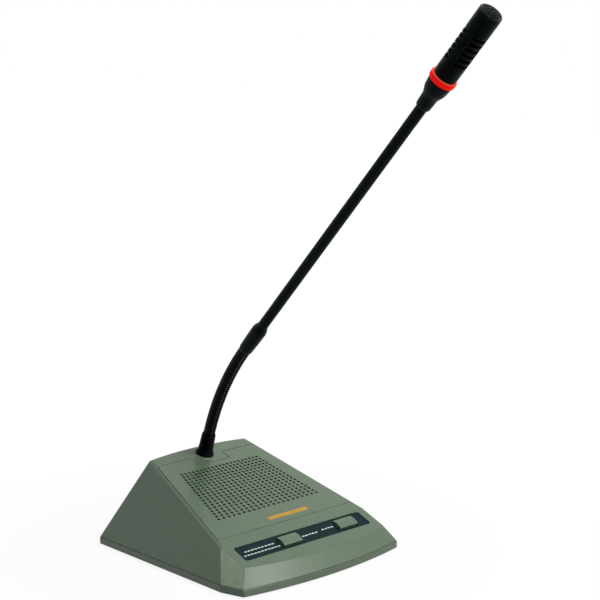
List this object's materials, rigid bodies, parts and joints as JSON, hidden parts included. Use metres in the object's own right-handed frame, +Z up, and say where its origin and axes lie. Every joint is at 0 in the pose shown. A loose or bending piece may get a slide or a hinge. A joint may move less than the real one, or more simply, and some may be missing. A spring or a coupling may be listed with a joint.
{
  "type": "gooseneck podium microphone",
  "caption": "Desk conference microphone: wedge base with sound-hole grille and call buttons, ribbed flexible neck, straight stem, red light ring and slotted microphone head.",
  "frame": {"origin": "on the desk, below the middle of the base's footprint", "axes": "+X to the user's right, +Y to the back, away from the user, +Z up"},
  "size_m": [0.15, 0.2921, 0.3662],
  "materials": {
    "case": "fine moulded grain",
    "grille": "fine moulded grain",
    "strip": "satin printed label",
    "ballast": "bare zinc",
    "rubber": "matte",
    "screws": "zinc plated",
    "circuit_board": "lacquered",
    "switch": "matte",
    "gasket": "foam rubber",
    "basket": "pressed steel",
    "cone": "coated paper",
    "magnet": "ferrite",
    "socket_metal": "nickel plated",
    "socket_insert": "matte",
    "boot": "satin",
    "neck_metal": "satin black",
    "stem_metal": "satin black",
    "head_metal": "black anodised",
    "mesh": "black wire mesh",
    "light_ring": "translucent red",
    "foam": "open foam",
    "capsule": "bare",
    "lead": "screened lead"
  },
  "bodies": {
    "base": {"upper_shell": "case", "grille_panel": "grille", "bottom_cover": "case", "control_strip": "strip", "ballast_plate": "ballast", "rubber_feet": "rubber", "cover_screws": "screws", "main_board": "circuit_board", "board_screws": "screws", "switch_board": "circuit_board", "speak_switch": "switch", "priority_switch": "switch", "speaker_gasket": "gasket", "speaker_basket": "basket", "speaker_cone": "cone", "speaker_magnet": "magnet", "speaker_screws": "screws", "bus_socket_shells": "socket_metal", "bus_socket_inserts": "socket_insert", "neck_boot": "boot", "neck_ferrule": "neck_metal", "neck_washer": "screws", "neck_nut": "screws"},
    "speak_button": {"speak_button": "case", "speak_plunger": "switch"},
    "priority_button": {"priority_button": "case", "priority_plunger": "switch"},
    "neck_link_1": {"neck_link_1": "neck_metal"},
    "neck_link_2": {"neck_link_2": "neck_metal"},
    "neck_link_3": {"neck_link_3": "neck_metal"},
    "neck_link_4": {"neck_link_4": "neck_metal"},
    "neck_link_5": {"neck_link_5": "neck_metal"},
    "neck_link_6": {"neck_link_6": "neck_metal"},
    "neck_link_7": {"neck_link_7": "neck_metal"},
    "stem": {"neck_end": "neck_metal", "stem_sleeve": "boot", "stem_tube": "stem_metal", "head_holder": "boot", "led_board": "circuit_board", "led_ring": "light_ring", "head_tube": "head_metal", "foam_liner": "foam", "capsule_mount": "rubber", "capsule": "capsule", "mesh_cap": "mesh", "mic_lead": "lead"}
  },
  "joints": [
    {"name": "neck_tilt_1", "type": "hinge", "parent": "base", "child": "neck_link_1", "pos_m": [0, 0.04576, 0.07686], "axis": [1, 0, 0], "range_deg": [-17, 12]},
    {"name": "neck_sway_1", "type": "hinge", "parent": "neck_link_1", "child": "neck_link_2", "pos_m": [0, 0.04218, 0.08593], "axis": [0, 0.9196, 0.3928], "range_deg": [-15, 15]},
    {"name": "neck_tilt_2", "type": "hinge", "parent": "neck_link_2", "child": "neck_link_3", "pos_m": [0, 0.03811, 0.09478], "axis": [1, 0, 0], "range_deg": [-17, 12]},
    {"name": "neck_sway_2", "type": "hinge", "parent": "neck_link_3", "child": "neck_link_4", "pos_m": [0, 0.03356, 0.10341], "axis": [0, 0.8716, 0.4902], "range_deg": [-15, 15]},
    {"name": "neck_tilt_3", "type": "hinge", "parent": "neck_link_4", "child": "neck_link_5", "pos_m": [0, 0.02855, 0.11177], "axis": [1, 0, 0], "range_deg": [-17, 12]},
    {"name": "neck_sway_3", "type": "hinge", "parent": "neck_link_5", "child": "neck_link_6", "pos_m": [0, 0.0231, 0.11985], "axis": [0, 0.8133, 0.5818], "range_deg": [-15, 15]},
    {"name": "neck_tilt_4", "type": "hinge", "parent": "neck_link_6", "child": "neck_link_7", "pos_m": [0, 0.01721, 0.12762], "axis": [1, 0, 0], "range_deg": [-17, 12]},
    {"name": "neck_sway_4", "type": "hinge", "parent": "neck_link_7", "child": "stem", "pos_m": [0, 0.01091, 0.13506], "axis": [0, 0.7454, 0.6666], "range_deg": [-15, 15]},
    {"name": "speak_press", "type": "slide", "parent": "base", "child": "speak_button", "axis": [0, 0.3592, -0.9333], "range_m": [0, 0.001], "stiffness_N_per_m": 1500, "springref_m": -0.0005},
    {"name": "priority_press", "type": "slide", "parent": "base", "child": "priority_button", "axis": [0, 0.3592, -0.9333], "range_m": [0, 0.001], "stiffness_N_per_m": 1500, "springref_m": -0.0005}
  ],
  "couplings": [
    {"joint": "neck_tilt_2", "follows": "neck_tilt_1", "ratio": 1},
    {"joint": "neck_tilt_3", "follows": "neck_tilt_1", "ratio": 1},
    {"joint": "neck_tilt_4", "follows": "neck_tilt_1", "ratio": 1},
    {"joint": "neck_sway_2", "follows": "neck_sway_1", "ratio": 1},
    {"joint": "neck_sway_3", "follows": "neck_sway_1", "ratio": 1},
    {"joint": "neck_sway_4", "follows": "neck_sway_1", "ratio": 1}
  ]
}
